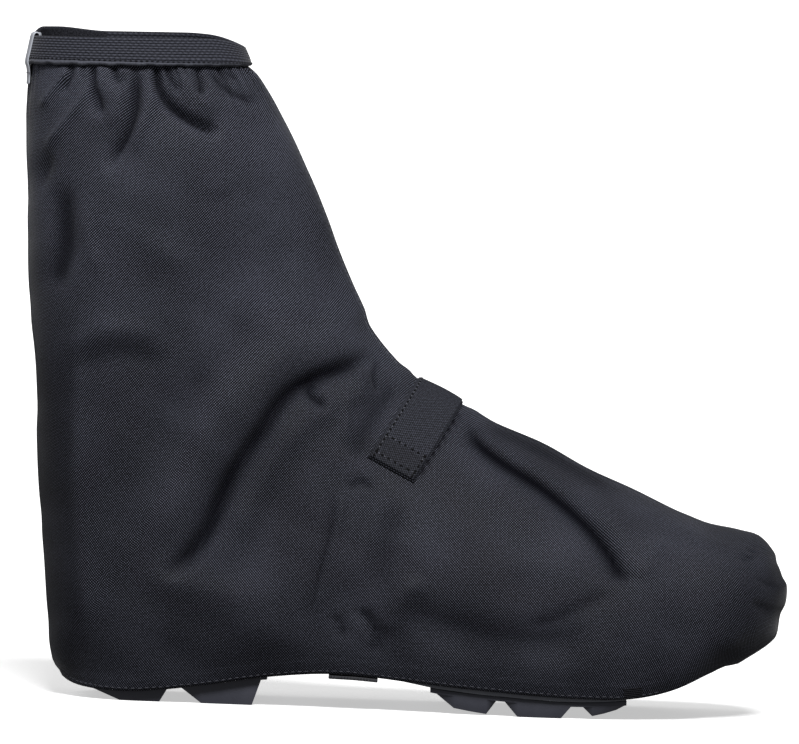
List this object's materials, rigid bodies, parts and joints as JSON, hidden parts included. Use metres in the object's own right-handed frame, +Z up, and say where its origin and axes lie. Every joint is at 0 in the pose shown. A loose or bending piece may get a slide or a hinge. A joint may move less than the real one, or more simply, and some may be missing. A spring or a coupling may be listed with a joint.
{
  "type": "cycling overshoe",
  "caption": "Loose ankle-high cycling overshoe of dark woven nylon with a gathered elastic collar, webbing straps over the instep and under the arch, and a lugged rubber sole.",
  "frame": {"origin": "on the floor under the middle of the whole overshoe", "axes": "+X to the toe, +Y to the inner side of the right foot, +Z up"},
  "size_m": [0.3276, 0.1084, 0.2771],
  "materials": {
    "shell_nylon": "matte plain weave with a faint sheen",
    "collar_elastic": "matte ribbed",
    "reflective_tape": "satin",
    "webbing": "matte",
    "plate_nylon": "satin",
    "tread_rubber": "matte"
  },
  "bodies": {
    "root": {"upper": "shell_nylon", "collar_band": "collar_elastic", "reflective_tab": "reflective_tape", "instep_strap": "webbing", "arch_strap": "webbing", "sole_plate": "plate_nylon", "heel_tread": "tread_rubber", "forefoot_tread": "tread_rubber"}
  },
  "joints": []
}
